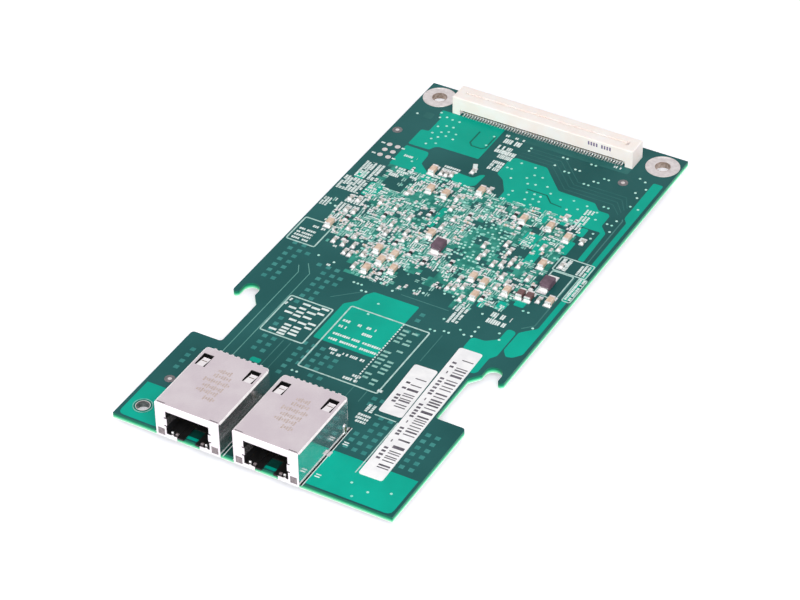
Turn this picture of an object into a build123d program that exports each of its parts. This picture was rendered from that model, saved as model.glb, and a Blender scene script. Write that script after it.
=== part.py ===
import os

from build123d import *

os.makedirs("parts", exist_ok=True)

# Board outline
board_width = 76.6
board_length = 156.9
board_thickness = 1.6
underside_clearance = 2.0

# Hooked notch in each side edge
wing_length = 35.0
notch_depth = 8.4
notch_height = 16.3
shoulder_rise = 2.9
hook_slot_from_side = 3.9
hook_slot_radius = 2.25
hook_slot_straight = 1.8
board_corner_radius = 0.9

# Fixing holes and their tinned rings
rear_hole_from_side = 4.8
rear_hole_from_rear = 5.4
rear_hole_radius = 2.05
rear_land_edge_margin = 0.2
front_hole_from_left = 5.0
front_hole_from_front = 5.4
front_hole_radius = 2.0
front_ring_width = 0.5
land_thickness = 0.1

# Plug jacks: shell
jack_width = 17.8
jack_depth = 23.1
jack_height = 9.8
jack_gap = 3.7
jack_left_share = 0.3539
jack_overhang = 1.1
sheet = 0.25
fit = 0.05
shield_lift = 0.35
front_drop = 0.4
rear_corner_radius = 0.9
fold_radius = 0.4

# Plug jacks: front opening and latch way
port_side_wall = 2.9
port_height = 6.9
port_floor = 0.8
port_depth = 12.6
latch_step_width = 6.3
latch_step_floor = 0.45
latch_slot_width = 3.3

# Plug jacks: side springs cut from the front face
finger_bottom = 3.2
finger_height = 2.4
finger_length = 5.0
finger_reach = 0.35
relief_width = 0.5
relief_height = 0.35

# Plug jacks: spring tongues in the top
tongue_width = 1.9
tongue_length = 3.6
tongue_slot = 0.45
tongue_end_gap = 0.9
tongue_from_side = 0.9
tongue_from_rear = 2.5
tongue_drop = 0.55

# Plug jacks: feet of the shell
leg_width = 1.3
leg_from_front = 11.6
leg_hole_length = 2.3
leg_hole_width = 0.9

# Plug jacks: moulded insert
insert_rear_wall = 1.6
peg_radius = 1.5
peg_spacing = 11.43
peg_from_front = 9.0
peg_protrusion = 0.8
peg_clearance = 0.1

# Plug jacks: contact springs
contact_count = 8
contact_pitch = 1.02
contact_width = 0.4
contact_thickness = 0.3
comb_depth = 0.6
comb_clearance = 0.1
contact_bend_from_front = 3.0
contact_tip_from_front = 10.0
contact_tip_height = 5.3

# Plug jacks: status lights
light_width = 1.75
light_height = 1.9
light_length = 6.0
light_from_side = 0.6
light_from_board = 0.25

# Plug jacks: signal pins
pin_radius = 0.25
pin_clearance = 0.2
pin_pitch = 2.54
pins_per_row = 5
pin_protrusion = 1.2

# Mezzanine connector
connector_end_to_hole = 6.6
connector_depth = 6.05
connector_height = 5.5
connector_from_rear = 4.05
connector_edge_radius = 0.3
end_foot_width = 2.2
tail_space_depth = 1.3
tail_space_height = 1.7
mating_slot_width = 0.8
mating_slot_depth = 4.2
mating_slot_end_wall = 2.5
key_pocket_length = 0.9
key_pocket_width = 1.2
tail_pitch = 0.8
tail_width = 0.35
tail_thickness = 0.15
tail_foot_length = 1.2
tail_toe = 0.2

# Paper labels
label_width = 6.35
label_thickness = 0.1
label_corner_radius = 0.7
long_label_length = 51.5
long_label_from_right = 11.9
long_label_from_front = 35.1
long_label_lean = 1.36
short_label_length = 19.2
short_label_from_right = 18.7
short_label_from_front = 40.5
short_label_lean = 2.0

# Chip parts: width across, length between the outer ends, height, terminal length
large_chip = (1.6, 3.2, 1.2, 0.55)
brown_chip = (1.7, 3.2, 1.3, 0.55)
small_chip = (0.8, 1.6, 0.7, 0.3)
resistor_chip = (0.8, 1.6, 0.45, 0.3)

# Moulded chip capacitors
moulded_width = 2.8
moulded_length = 3.6
moulded_height = 1.8
moulded_terminal_width = 2.2
moulded_terminal_length = 0.8
moulded_terminal_height = 0.9

# Underside packages, placed as the chips are
controller_width = 23.0
controller_place = (50.9, 62.5)
ball_pitch = 1.27
ball_radius = 0.38
ball_height = 0.5
ball_margin = 1.3
ball_ring_count = 2
memory_length = 4.9
memory_width = 3.9
memory_height = 1.3
memory_lift = 0.15
memory_place = (26.1, 44.6)
lead_count = 4
lead_pitch = 1.27
lead_width = 0.4
lead_thickness = 0.2
lead_reach = 1.05
lead_foot = 0.6
crystal_length = 5.0
crystal_width = 3.2
crystal_height = 1.1
crystal_place = (75.7, 52.3)
crystal_corner_radius = 0.4

# Chip places: percent of the board's width from the left, and of its length from the front
large_chip_places = [
    (25.8, 77.2), (30.3, 72.4), (36.2, 72.4), (46.0, 75.9), (9.8, 56.5), (31.3, 54.2),
    (37.6, 54.0), (35.1, 51.8), (41.0, 50.7), (33.0, 48.8), (42.7, 61.8), (66.1, 72.4),
    (75.8, 72.7), (83.7, 71.3), (82.9, 63.2), (66.1, 55.1), (70.8, 54.6), (79.2, 54.5),
    (71.1, 51.0), (94.1, 55.3),
]
brown_chip_places = [(84.1, 54.7), (87.2, 54.7)]
moulded_places = [(48.3, 59.4), (89.3, 59.0)]
small_chip_places = [
    (29.0, 77.4), (30.8, 77.4), (32.6, 77.8), (38.0, 80.3), (40.7, 72.5), (48.3, 76.9),
    (41.8, 69.5), (24.4, 69.9), (19.1, 65.6), (11.7, 64.4), (8.9, 64.1), (13.8, 61.2),
    (11.0, 61.1), (16.7, 57.0), (21.1, 55.6), (15.9, 53.0), (19.6, 52.9), (23.2, 53.2),
    (28.2, 52.0), (28.7, 48.7), (22.2, 51.1), (24.3, 51.0), (26.1, 59.4), (28.5, 61.2),
    (29.2, 58.6), (32.1, 64.0), (35.0, 60.2), (36.0, 58.5), (40.2, 59.4), (43.9, 64.4),
    (45.3, 67.2), (25.2, 65.4), (61.2, 63.4), (63.4, 61.6), (62.8, 60.2), (67.5, 65.4),
    (70.2, 64.0), (68.5, 59.7), (71.0, 60.4), (73.4, 61.6), (76.4, 61.3), (82.2, 59.0),
    (83.9, 68.3), (78.9, 67.3), (77.4, 56.3), (75.2, 54.7), (74.4, 57.6), (62.7, 53.7),
    (65.7, 52.3), (61.4, 51.1), (63.4, 51.4), (67.8, 49.4), (89.0, 71.6), (78.3, 76.2),
    (90.5, 54.9), (88.8, 64.5),
]
resistor_places = [
    (13.3, 59.0), (18.5, 54.3), (34.6, 57.1), (41.5, 55.8), (49.1, 69.1), (62.4, 72.9),
    (66.8, 70.5), (85.6, 57.2), (38.1, 49.3), (23.8, 62.7), (36.8, 66.7), (56.1, 56.5),
    (73.9, 51.2), (47.8, 54.8),
]

# Shared levels and edges
left_edge = -board_width / 2
right_edge = board_width / 2
front_edge = (jack_overhang - board_length) / 2
rear_edge = front_edge + board_length
board_bottom = underside_clearance
board_top = board_bottom + board_thickness
wing_edge = front_edge + wing_length
shoulder_y = wing_edge + notch_height
slot_foot_y = shoulder_y + shoulder_rise
slot_centre_y = slot_foot_y + hook_slot_straight
slot_centre_x = left_edge + hook_slot_from_side
lip_width = hook_slot_from_side - hook_slot_radius

rear_hole_y = rear_edge - rear_hole_from_rear
rear_holes = [
    (left_edge + rear_hole_from_side, rear_hole_y),
    (right_edge - rear_hole_from_side, rear_hole_y),
]
rear_land_radius = rear_hole_from_side - rear_land_edge_margin
front_hole = (left_edge + front_hole_from_left, front_edge + front_hole_from_front)

jack_front = front_edge - jack_overhang
free_front = board_width - 2 * jack_width - jack_gap
left_jack_x = left_edge + jack_left_share * free_front + jack_width / 2
jack_places = {"left": left_jack_x, "right": left_jack_x + jack_width + jack_gap}
shield_bottom = board_top + shield_lift
shield_top = board_top + jack_height
shield_height = jack_height - shield_lift
port_width = jack_width - 2 * port_side_wall
inner_width = jack_width - 2 * (sheet + fit)
inner_top = shield_top - sheet - tongue_drop - fit
insert_front = jack_front + sheet + fit
port_rear = jack_front + port_depth
insert_rear = port_rear + insert_rear_wall
block_front = insert_rear + fit
block_rear = jack_front + jack_depth - sheet - fit
block_middle = (block_front + block_rear) / 2
comb_top = board_top + port_floor + port_height + comb_depth

connector_length = board_width - 2 * (rear_hole_from_side + connector_end_to_hole)
connector_front = rear_edge - connector_from_rear - connector_depth
connector_rear = connector_front + connector_depth
connector_middle = connector_front + connector_depth / 2
tail_space_length = connector_length - 2 * end_foot_width
tail_count = int((tail_space_length - tail_pitch) / tail_pitch)
lying = (Align.CENTER, Align.CENTER, Align.MIN)
hanging = (Align.CENTER, Align.CENTER, Align.MAX)
from_front = (Align.CENTER, Align.MIN, Align.MIN)


def chip_seat(across, along):
    """A chip's place, given in percent of the board's width and length."""
    return (left_edge + board_width * across / 100, front_edge + board_length * along / 100)


def facing_front(x, y, z):
    """A plane that looks out of the front, with its own up along Z."""
    return Plane(origin=(x, y, z), x_dir=(1, 0, 0), z_dir=(0, -1, 0))


def pin_places(jack_x):
    """Two staggered rows of signal pins under the transformer block."""
    half_row = (pins_per_row - 1) / 2
    rows = ((-1, block_middle - pin_pitch / 2), (1, block_middle + pin_pitch / 2))
    return [
        (jack_x + (index - half_row) * pin_pitch + shift * pin_pitch / 4, y)
        for shift, y in rows
        for index in range(pins_per_row)
    ]


def peg_places(jack_x):
    """The two locating pegs of one insert."""
    y = jack_front + peg_from_front
    return [(jack_x - peg_spacing / 2, y), (jack_x + peg_spacing / 2, y)]


def leg_places(jack_x):
    """The feet of one shell, one under each side wall."""
    reach = jack_width / 2 - sheet / 2
    y = jack_front + leg_from_front
    return [(jack_x - reach, y), (jack_x + reach, y)]


def light_places():
    """Centres of the two light windows, across the jack and up from the board."""
    across = jack_width / 2 - light_from_side - light_width / 2
    up = light_from_board + light_height / 2
    return [(-across, up), (across, up)]


# Circuit board
with BuildPart() as circuit_board:
    with BuildSketch(Plane.XY.offset(board_bottom)) as outline:
        with BuildLine():
            Polyline(
                (0, front_edge),
                (left_edge, front_edge),
                (left_edge, wing_edge),
                (left_edge + notch_depth, wing_edge),
                (left_edge + notch_depth, shoulder_y),
                (slot_centre_x + hook_slot_radius, slot_foot_y),
                (slot_centre_x + hook_slot_radius, slot_centre_y),
            )
            ThreePointArc(
                (slot_centre_x + hook_slot_radius, slot_centre_y),
                (slot_centre_x, slot_centre_y + hook_slot_radius),
                (slot_centre_x - hook_slot_radius, slot_centre_y),
            )
            Line(
                (slot_centre_x - hook_slot_radius, slot_centre_y),
                (slot_centre_x - hook_slot_radius, slot_foot_y),
            )
            ThreePointArc(
                (slot_centre_x - hook_slot_radius, slot_foot_y),
                (left_edge + lip_width / 2, slot_foot_y - lip_width / 2),
                (left_edge, slot_foot_y),
            )
            Polyline((left_edge, slot_foot_y), (left_edge, rear_edge), (0, rear_edge), (0, front_edge))
        make_face()
        mirror(about=Plane.YZ)
        wing_corners = outline.vertices().filter_by_position(Axis.Y, wing_edge - fit, wing_edge + fit)
        fillet(wing_corners, board_corner_radius)
        with Locations(*rear_holes):
            Circle(rear_hole_radius, mode=Mode.SUBTRACT)
        with Locations(front_hole):
            Circle(front_hole_radius, mode=Mode.SUBTRACT)
        for jack_x in jack_places.values():
            with Locations(*pin_places(jack_x)):
                Circle(pin_radius + pin_clearance, mode=Mode.SUBTRACT)
            with Locations(*peg_places(jack_x)):
                Circle(peg_radius + peg_clearance, mode=Mode.SUBTRACT)
            with Locations(*leg_places(jack_x)):
                SlotOverall(leg_hole_length, leg_hole_width, rotation=90, mode=Mode.SUBTRACT)
    extrude(amount=board_thickness)
circuit_board.part.label = "circuit_board"
export_step(circuit_board.part, "parts/circuit_board.step")

# Tinned rings on both faces, round the three fixing holes
with BuildPart() as mounting_lands:
    for level in (board_top, board_bottom - land_thickness):
        with BuildSketch(Plane.XY.offset(level)):
            with Locations(*rear_holes):
                Circle(rear_land_radius)
                Circle(rear_hole_radius, mode=Mode.SUBTRACT)
            with Locations(front_hole):
                Circle(front_hole_radius + front_ring_width)
                Circle(front_hole_radius, mode=Mode.SUBTRACT)
        extrude(amount=land_thickness)
mounting_lands.part.label = "mounting_lands"
export_step(mounting_lands.part, "parts/mounting_lands.step")

# Plug jacks
for side, jack_x in jack_places.items():
    # Folded shell, open below
    with BuildPart() as shield:
        with Locations((jack_x, jack_front, shield_bottom)):
            Box(jack_width, jack_depth, shield_height, align=from_front)
        fillet(shield.edges().filter_by(Axis.Z).group_by(Axis.Y)[-1], rear_corner_radius)
        fillet(shield.faces().sort_by(Axis.Z)[-1].edges(), fold_radius)
        offset(amount=-sheet, openings=shield.faces().sort_by(Axis.Z)[0])
        with Locations((jack_x, jack_front, board_top - front_drop)):
            Box(jack_width, sheet, front_drop + shield_lift, align=from_front)
        with BuildSketch(facing_front(jack_x, jack_front, board_top)):
            with Locations((0, port_floor)):
                Rectangle(port_width, port_height, align=(Align.CENTER, Align.MIN))
            with Locations((0, -front_drop)):
                Rectangle(latch_step_width, front_drop + port_floor, align=(Align.CENTER, Align.MIN))
            with Locations(*light_places()):
                Rectangle(light_width + 2 * fit, light_height + 2 * fit)
            relief_span = port_width + 2 * relief_width
            with Locations((0, finger_bottom), (0, finger_bottom + finger_height)):
                Rectangle(relief_span, relief_height)
        extrude(amount=-sheet, mode=Mode.SUBTRACT)
        tongue_reach = jack_width / 2 - tongue_from_side - tongue_slot - tongue_width / 2
        tongue_end = jack_front + jack_depth - tongue_from_rear - tongue_end_gap
        tongue_root = tongue_end - tongue_length
        for hand in (-1, 1):
            finger_root = jack_x + hand * port_width / 2
            finger_inner = finger_root - hand * sheet
            with BuildSketch(Plane.XY.offset(board_top + finger_bottom + relief_height / 2)):
                with BuildLine():
                    Polyline(
                        (finger_root, jack_front),
                        (finger_inner, jack_front),
                        (finger_inner - hand * finger_reach, jack_front + finger_length),
                        (finger_root - hand * finger_reach, jack_front + finger_length),
                        (finger_root, jack_front + sheet),
                        close=True,
                    )
                make_face()
            extrude(amount=finger_height - relief_height)
            tongue_x = jack_x + hand * tongue_reach
            with Locations((tongue_x, tongue_root, shield_top - sheet)):
                Box(
                    tongue_width + 2 * tongue_slot,
                    tongue_length + tongue_end_gap,
                    sheet,
                    align=from_front,
                    mode=Mode.SUBTRACT,
                )
            with BuildSketch(Plane.YZ.offset(tongue_x)):
                with BuildLine():
                    Polyline(
                        (tongue_root, shield_top),
                        (tongue_end, shield_top - tongue_drop),
                        (tongue_end, shield_top - tongue_drop - sheet),
                        (tongue_root, shield_top - sheet),
                        close=True,
                    )
                make_face()
            extrude(amount=tongue_width / 2, both=True)
        with Locations(*[(x, y, 0) for x, y in leg_places(jack_x)]):
            Box(sheet, leg_width, shield_bottom, align=lying)
    shield.part.label = f"{side}_jack_shield"
    export_step(shield.part, f"parts/{side}_jack_shield.step")

    # Moulded insert with the plug cavity, the latch way and the contact comb
    with BuildPart() as housing:
        with Locations((jack_x, insert_front, board_top)):
            Box(inner_width, insert_rear - insert_front, inner_top - board_top, align=from_front)
        with BuildSketch(facing_front(jack_x, insert_front, board_top)):
            with Locations((0, port_floor)):
                Rectangle(port_width + 2 * fit, port_height, align=(Align.CENTER, Align.MIN))
            with Locations((0, latch_step_floor)):
                Rectangle(latch_step_width, port_floor - latch_step_floor, align=(Align.CENTER, Align.MIN))
            Rectangle(latch_slot_width, latch_step_floor, align=(Align.CENTER, Align.MIN))
            with Locations((0, port_floor + port_height)):
                with GridLocations(contact_pitch, 0, contact_count, 1):
                    comb_width = contact_width + 2 * comb_clearance
                    Rectangle(comb_width, comb_depth, align=(Align.CENTER, Align.MIN))
        extrude(amount=insert_front - port_rear, mode=Mode.SUBTRACT)
        with BuildSketch(facing_front(jack_x, insert_front, board_top)):
            with Locations(*light_places()):
                Rectangle(light_width + 2 * fit, light_height + 2 * fit)
        extrude(amount=insert_front - jack_front - light_length, mode=Mode.SUBTRACT)
        with Locations(*[(x, y, board_top) for x, y in peg_places(jack_x)]):
            Cylinder(peg_radius, board_thickness + peg_protrusion, align=hanging)
    housing.part.label = f"{side}_jack_housing"
    export_step(housing.part, f"parts/{side}_jack_housing.step")

    # Contact springs, bent back from the comb
    with BuildPart() as contacts:
        bend = jack_front + contact_bend_from_front
        tip = jack_front + contact_tip_from_front
        tip_level = board_top + contact_tip_height
        with BuildSketch(Plane.YZ.offset(jack_x)):
            with BuildLine():
                Polyline(
                    (port_rear, comb_top),
                    (bend, comb_top),
                    (bend - contact_thickness, comb_top - contact_thickness),
                    (bend, comb_top - 3 * contact_thickness),
                    (tip, tip_level),
                    (tip, tip_level + contact_thickness),
                    (bend + contact_thickness, comb_top - 2 * contact_thickness),
                    (bend + contact_thickness, comb_top - contact_thickness),
                    (port_rear, comb_top - contact_thickness),
                    close=True,
                )
            make_face()
        spring = extrude(amount=contact_width / 2, both=True, mode=Mode.PRIVATE)
        with GridLocations(contact_pitch, 0, contact_count, 1):
            add(spring)
    contacts.part.label = f"{side}_jack_contacts"
    export_step(contacts.part, f"parts/{side}_jack_contacts.step")

    # Potted transformer block behind the cavity
    with BuildPart() as magnetics:
        with Locations((jack_x, block_front, board_top)):
            Box(inner_width, block_rear - block_front, inner_top - board_top, align=from_front)
        fillet(magnetics.edges().filter_by(Axis.Z).group_by(Axis.Y)[-1], rear_corner_radius - sheet)
    magnetics.part.label = f"{side}_jack_magnetics"
    export_step(magnetics.part, f"parts/{side}_jack_magnetics.step")

    # Status lights
    with BuildPart() as lights:
        with BuildSketch(facing_front(jack_x, jack_front, board_top)):
            with Locations(*light_places()):
                Rectangle(light_width, light_height)
        extrude(amount=-light_length)
    lights.part.label = f"{side}_jack_light_guides"
    export_step(lights.part, f"parts/{side}_jack_light_guides.step")

    # Signal pins through the board
    with BuildPart() as pins:
        with Locations(*[(x, y, board_top) for x, y in pin_places(jack_x)]):
            Cylinder(pin_radius, board_thickness + pin_protrusion, align=hanging)
    pins.part.label = f"{side}_jack_pins"
    export_step(pins.part, f"parts/{side}_jack_pins.step")

# Mezzanine connector body, on two end feet and a keel
with BuildPart() as mezzanine_housing:
    with Locations((0, connector_middle, board_top)):
        Box(connector_length, connector_depth, connector_height, align=lying)
    fillet(mezzanine_housing.faces().sort_by(Axis.Z)[-1].edges(), connector_edge_radius)
    for edge_y, inward in ((connector_front, Align.MIN), (connector_rear, Align.MAX)):
        with Locations((0, edge_y, board_top)):
            Box(
                tail_space_length,
                tail_space_depth,
                tail_space_height,
                align=(Align.CENTER, inward, Align.MIN),
                mode=Mode.SUBTRACT,
            )
    slot_length = connector_length - 2 * mating_slot_end_wall
    with Locations((0, connector_middle, board_top + connector_height)):
        Box(slot_length, mating_slot_width, mating_slot_depth, align=hanging, mode=Mode.SUBTRACT)
    key_x = slot_length / 2 - key_pocket_length / 2
    with Locations((key_x, connector_middle, board_top + connector_height)):
        Box(
            key_pocket_length,
            mating_slot_width + key_pocket_width,
            mating_slot_depth / 2,
            align=hanging,
            mode=Mode.SUBTRACT,
        )
mezzanine_housing.part.label = "mezzanine_housing"
export_step(mezzanine_housing.part, "parts/mezzanine_housing.step")

# Solder tails along the two long sides of the connector
for row, edge_y, inward in (("front", connector_front, 1), ("rear", connector_rear, -1)):
    with BuildPart() as tails:
        toe = edge_y - inward * tail_toe
        heel = toe + inward * tail_foot_length
        with BuildSketch(Plane.YZ):
            with BuildLine():
                Polyline(
                    (toe, board_top),
                    (heel, board_top),
                    (heel, board_top + tail_space_height),
                    (heel - inward * tail_thickness, board_top + tail_space_height),
                    (heel - inward * tail_thickness, board_top + tail_thickness),
                    (toe, board_top + tail_thickness),
                    close=True,
                )
            make_face()
        tail = extrude(amount=tail_width / 2, both=True, mode=Mode.PRIVATE)
        with GridLocations(tail_pitch, 0, tail_count, 1):
            add(tail)
    tails.part.label = f"mezzanine_{row}_contacts"
    export_step(tails.part, f"parts/mezzanine_{row}_contacts.step")

# Paper labels
labels = (
    ("long_label", long_label_length, long_label_from_right, long_label_from_front, long_label_lean),
    ("short_label", short_label_length, short_label_from_right, short_label_from_front, short_label_lean),
)
for label_name, length, from_right, ahead, lean in labels:
    with BuildPart() as label:
        with BuildSketch(Plane.XY.offset(board_top)):
            with Locations((right_edge - from_right, front_edge + ahead)):
                RectangleRounded(label_width, length, label_corner_radius, rotation=lean)
        extrude(amount=label_thickness)
    label.part.label = label_name
    export_step(label.part, f"parts/{label_name}.step")

# Chip parts: a body between two terminals, along the board's length
chip_groups = (
    ("large_capacitor", large_chip, large_chip_places),
    ("brown_capacitor", brown_chip, brown_chip_places),
    ("small_capacitor", small_chip, small_chip_places),
    ("chip_resistor", resistor_chip, resistor_places),
)
for group, (width, length, height, terminal), places in chip_groups:
    seats = [chip_seat(across, along) for across, along in places]
    with BuildPart() as bodies:
        with Locations(*[(x, y, board_top) for x, y in seats]):
            Box(width, length - 2 * terminal, height, align=lying)
    bodies.part.label = f"{group}_bodies"
    export_step(bodies.part, f"parts/{group}_bodies.step")
    with BuildPart() as terminals:
        reach = (length - terminal) / 2
        ends = [(x, y + hand * reach, board_top) for x, y in seats for hand in (-1, 1)]
        with Locations(*ends):
            Box(width, terminal, height, align=lying)
    terminals.part.label = f"{group}_terminals"
    export_step(terminals.part, f"parts/{group}_terminals.step")

# Moulded chip capacitors, with folded end terminals
moulded_seats = [chip_seat(across, along) for across, along in moulded_places]
with BuildPart() as moulded_bodies:
    with Locations(*[(x, y, board_top) for x, y in moulded_seats]):
        Box(moulded_width, moulded_length, moulded_height, align=lying)
moulded_bodies.part.label = "moulded_capacitor_bodies"
export_step(moulded_bodies.part, "parts/moulded_capacitor_bodies.step")
with BuildPart() as moulded_terminals:
    reach = (moulded_length + moulded_terminal_length) / 2
    with Locations(*[(x, y + hand * reach, board_top) for x, y in moulded_seats for hand in (-1, 1)]):
        Box(moulded_terminal_width, moulded_terminal_length, moulded_terminal_height, align=lying)
moulded_terminals.part.label = "moulded_capacitor_terminals"
export_step(moulded_terminals.part, "parts/moulded_capacitor_terminals.step")

# Controller package on the underside, the card's rear support when it lies down
controller_x, controller_y = chip_seat(*controller_place)
with BuildPart() as network_controller:
    with Locations((controller_x, controller_y, 0)):
        Box(controller_width, controller_width, board_bottom - ball_height, align=lying)
network_controller.part.label = "network_controller"
export_step(network_controller.part, "parts/network_controller.step")
balls_per_side = int((controller_width - 2 * ball_margin) / ball_pitch) + 1
half_side = (balls_per_side - 1) / 2
ball_steps = [
    (column, line)
    for column in range(balls_per_side)
    for line in range(balls_per_side)
    if max(abs(column - half_side), abs(line - half_side)) > half_side - ball_ring_count
]
with BuildPart() as controller_balls:
    with Locations(*[
        (
            controller_x + (column - half_side) * ball_pitch,
            controller_y + (line - half_side) * ball_pitch,
            board_bottom,
        )
        for column, line in ball_steps
    ]):
        Cylinder(ball_radius, ball_height, align=hanging)
controller_balls.part.label = "controller_solder_balls"
export_step(controller_balls.part, "parts/controller_solder_balls.step")

# Memory package on the underside
memory_x, memory_y = chip_seat(*memory_place)
with BuildPart() as boot_memory:
    with Locations((memory_x, memory_y, board_bottom - memory_lift)):
        Box(memory_length, memory_width, memory_height, align=hanging)
boot_memory.part.label = "boot_memory"
export_step(boot_memory.part, "parts/boot_memory.step")
with BuildPart() as memory_leads:
    lead_level = board_bottom - memory_lift - memory_height / 2
    for hand in (-1, 1):
        root = memory_y + hand * memory_width / 2
        knee = root + hand * (lead_reach - lead_foot)
        toe = root + hand * lead_reach
        with BuildSketch(Plane.YZ.offset(memory_x)):
            with BuildLine():
                Polyline(
                    (root, lead_level),
                    (knee, lead_level),
                    (knee, board_bottom - lead_thickness),
                    (toe, board_bottom - lead_thickness),
                    (toe, board_bottom),
                    (knee - hand * lead_thickness, board_bottom),
                    (knee - hand * lead_thickness, lead_level + lead_thickness),
                    (root, lead_level + lead_thickness),
                    close=True,
                )
            make_face()
        lead = extrude(amount=lead_width / 2, both=True, mode=Mode.PRIVATE)
        with GridLocations(lead_pitch, 0, lead_count, 1):
            add(lead)
memory_leads.part.label = "boot_memory_leads"
export_step(memory_leads.part, "parts/boot_memory_leads.step")

# Sealed crystal on the underside
crystal_x, crystal_y = chip_seat(*crystal_place)
with BuildPart() as clock_crystal:
    with BuildSketch(Plane.XY.offset(board_bottom)):
        with Locations((crystal_x, crystal_y)):
            RectangleRounded(crystal_length, crystal_width, crystal_corner_radius)
    extrude(amount=-crystal_height)
clock_crystal.part.label = "clock_crystal"
export_step(clock_crystal.part, "parts/clock_crystal.step")
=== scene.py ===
import math
import random

import bmesh
import bpy
from mathutils import Matrix, Quaternion, Vector, noise


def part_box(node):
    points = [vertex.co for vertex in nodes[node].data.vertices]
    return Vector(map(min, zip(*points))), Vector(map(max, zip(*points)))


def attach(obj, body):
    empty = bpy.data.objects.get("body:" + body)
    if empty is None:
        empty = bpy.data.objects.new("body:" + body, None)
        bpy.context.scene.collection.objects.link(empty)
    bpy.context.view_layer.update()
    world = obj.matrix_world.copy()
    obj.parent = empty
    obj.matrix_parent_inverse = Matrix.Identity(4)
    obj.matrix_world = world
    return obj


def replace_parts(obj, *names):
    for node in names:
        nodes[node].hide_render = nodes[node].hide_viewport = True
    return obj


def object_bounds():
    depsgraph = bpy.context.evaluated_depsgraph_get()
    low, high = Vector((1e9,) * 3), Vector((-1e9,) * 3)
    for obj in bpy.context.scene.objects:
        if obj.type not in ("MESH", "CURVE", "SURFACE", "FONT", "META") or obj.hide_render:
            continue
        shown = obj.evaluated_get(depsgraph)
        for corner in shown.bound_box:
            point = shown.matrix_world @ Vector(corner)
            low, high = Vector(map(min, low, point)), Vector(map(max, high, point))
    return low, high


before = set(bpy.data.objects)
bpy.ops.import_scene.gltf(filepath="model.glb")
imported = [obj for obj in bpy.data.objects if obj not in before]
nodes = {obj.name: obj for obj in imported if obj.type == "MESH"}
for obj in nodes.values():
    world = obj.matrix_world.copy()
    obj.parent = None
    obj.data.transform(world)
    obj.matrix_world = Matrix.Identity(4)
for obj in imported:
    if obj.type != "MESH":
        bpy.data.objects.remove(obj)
cad_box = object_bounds()
scene = bpy.context.scene
chance = random.Random(23)

MM = 0.001
GRID = 1.12 * MM  # one step of the artwork's grid
board_low, board_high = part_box("circuit_board")
deck = board_high.z


# Small helpers

def linear(code):
    """An sRGB hex colour as linear red, green, blue and alpha."""
    parts = [int(code[i:i + 2], 16) / 255 for i in (1, 3, 5)]
    return (*(c / 12.92 if c <= 0.04045 else ((c + 0.055) / 1.055) ** 2.4 for c in parts), 1.0)


def add(tree, kind, settings=None, values=None, links=None):
    """Adds a node with its settings, its input values and what feeds its inputs."""
    node = tree.nodes.new(kind)
    for name, value in (settings or {}).items():
        setattr(node, name, value)
    for key, value in (values or {}).items():
        node.inputs[key].default_value = value
    for key, source in (links or {}).items():
        tree.links.new(source, node.inputs[key])
    return node


def stops(ramp, *pairs):
    """Sets the stops of a colour ramp, each a position and a hex colour."""
    elements = ramp.color_ramp.elements
    for index, (position, code) in enumerate(pairs):
        stop = elements[index] if index < len(elements) else elements.new(position)
        stop.position, stop.color = position, linear(code)


def at(u, v, lift=0.0):
    """A place on the board's upper face, in steps of the artwork's grid from its front left corner."""
    return Vector((board_low.x + u * GRID, board_low.y + v * GRID, deck + lift))


def keep(name, mesh, material):
    """Makes a bmesh or a mesh a piece of the card."""
    if isinstance(mesh, bmesh.types.BMesh):
        data = bpy.data.meshes.new(name)
        mesh.to_mesh(data)
        mesh.free()
    else:
        data = mesh
    if not data.materials:
        data.materials.append(material)
    piece = bpy.data.objects.new(name, data)
    scene.collection.objects.link(piece)
    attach(piece, "root")
    return piece


# Materials

def skin(roughness, ior=1.5):
    """The shader values of a material that isn't metal."""
    return {"Roughness": roughness, "IOR": ior}


def metal(roughness, share=1.0):
    """The shader values of a metal, which keeps the default IOR."""
    return {"Metallic": share, "Roughness": roughness}


def mottled(name, dark, light, size, values, bump=0.0, grain=1.0, rough=None, depth=0.05, light_at=0.65,
            tint=None):
    """A material whose colour drifts between two hex values over patches of a size in mm."""
    material = bpy.data.materials.new(name)
    material.use_nodes = True
    tree = material.node_tree
    tree.nodes.clear()
    shader = add(tree, "ShaderNodeBsdfPrincipled", values=values)
    add(tree, "ShaderNodeOutputMaterial", links={"Surface": shader.outputs["BSDF"]})
    place = add(tree, "ShaderNodeTexCoord")
    here = {"Vector": place.outputs["Object"]}
    cloud = add(tree, "ShaderNodeTexNoise", values={"Scale": 1 / (size * MM), "Detail": 3.0}, links=here)
    ramp = add(tree, "ShaderNodeValToRGB", links={"Fac": cloud.outputs["Fac"]})
    stops(ramp, (0.35, dark), (light_at, light))
    colour = tint(tree, place, ramp.outputs["Color"]) if tint else ramp.outputs["Color"]
    tree.links.new(colour, shader.inputs["Base Color"])
    if rough:
        limits = {"From Min": 0.3, "From Max": 0.7, "To Min": rough[0], "To Max": rough[1]}
        spread = add(tree, "ShaderNodeMapRange", values=limits, links={"Value": cloud.outputs["Fac"]})
        tree.links.new(spread.outputs["Result"], shader.inputs["Roughness"])
    if bump:
        grit = add(tree, "ShaderNodeTexNoise", values={"Scale": 1 / (grain * MM), "Detail": 2.0}, links=here)
        relief = add(tree, "ShaderNodeBump", values={"Strength": bump, "Distance": depth * MM},
                     links={"Height": grit.outputs["Fac"]})
        tree.links.new(relief.outputs["Normal"], shader.inputs["Normal"])
    return material


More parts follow.
